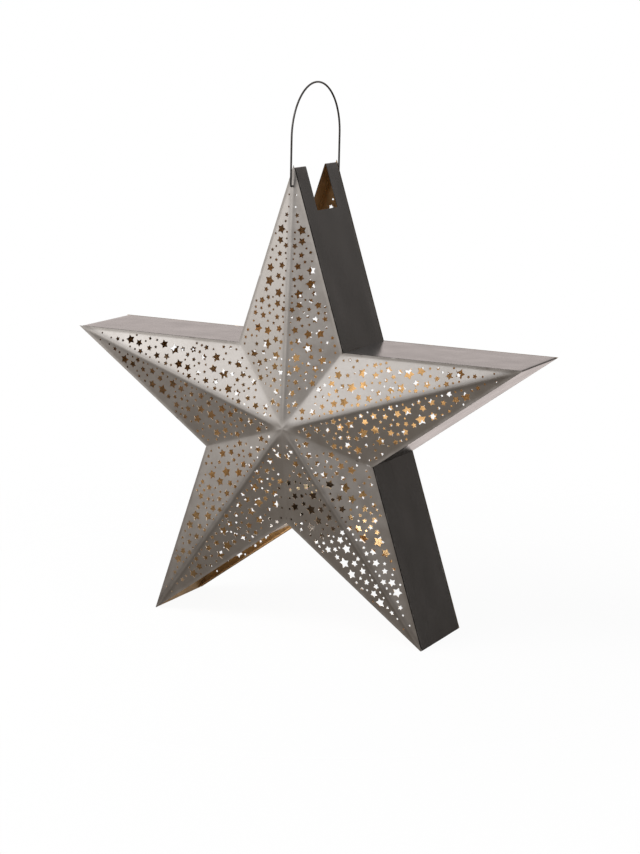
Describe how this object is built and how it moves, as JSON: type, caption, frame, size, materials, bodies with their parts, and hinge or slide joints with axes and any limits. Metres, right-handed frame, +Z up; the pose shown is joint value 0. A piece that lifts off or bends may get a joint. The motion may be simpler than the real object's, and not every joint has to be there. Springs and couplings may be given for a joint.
{
  "type": "star lantern",
  "caption": "Five-pointed star lantern of punched sheet metal with domed faces, dark side walls, a wire handle and a candle cup inside.",
  "frame": {"origin": "on the ground, under the star's centre", "axes": "+Z up, the front face looks towards -Y, +X to the right seen from the front"},
  "size_m": [0.5002, 0.1244, 0.5558],
  "materials": {
    "face_metal": "satin grey zinc tone",
    "charcoal_paint": "satin charcoal outside, copper gold inside",
    "inner_gold": "satin copper gold",
    "dark_steel": "satin dark bronze",
    "wire_steel": "drawn steel wire",
    "thin_aluminium": "bright pressed foil",
    "tinned_steel": "tinned",
    "wax": "soft white wax",
    "cotton": "waxed cotton"
  },
  "bodies": {
    "lantern": {"front_panel": "face_metal", "back_panel": "face_metal", "rim_top_arm": "charcoal_paint", "rim_right_arm": "charcoal_paint", "rim_left_arm": "charcoal_paint", "rim_lower_right_wall": "charcoal_paint", "rim_lower_left_wall": "charcoal_paint", "corner_strip_upper_right": "inner_gold", "corner_strip_upper_left": "inner_gold", "corner_strip_lower_right": "inner_gold", "corner_strip_lower_left": "inner_gold", "candle_bridge": "dark_steel", "candle_cup": "dark_steel"},
    "handle": {"wire_handle": "wire_steel"},
    "tealight": {"tealight_can": "thin_aluminium", "wick_holder": "tinned_steel", "tealight_wax": "wax", "wick": "cotton"}
  },
  "joints": [
    {"name": "handle_swing", "type": "hinge", "parent": "lantern", "child": "handle", "pos_m": [0, 0, 0.45427], "axis": [0, 1, 0], "range_deg": [-150, 150]},
    {"name": "tealight_lift", "type": "slide", "parent": "lantern", "child": "tealight", "axis": [0, 0, 1], "range_m": [0, 0.035]}
  ]
}
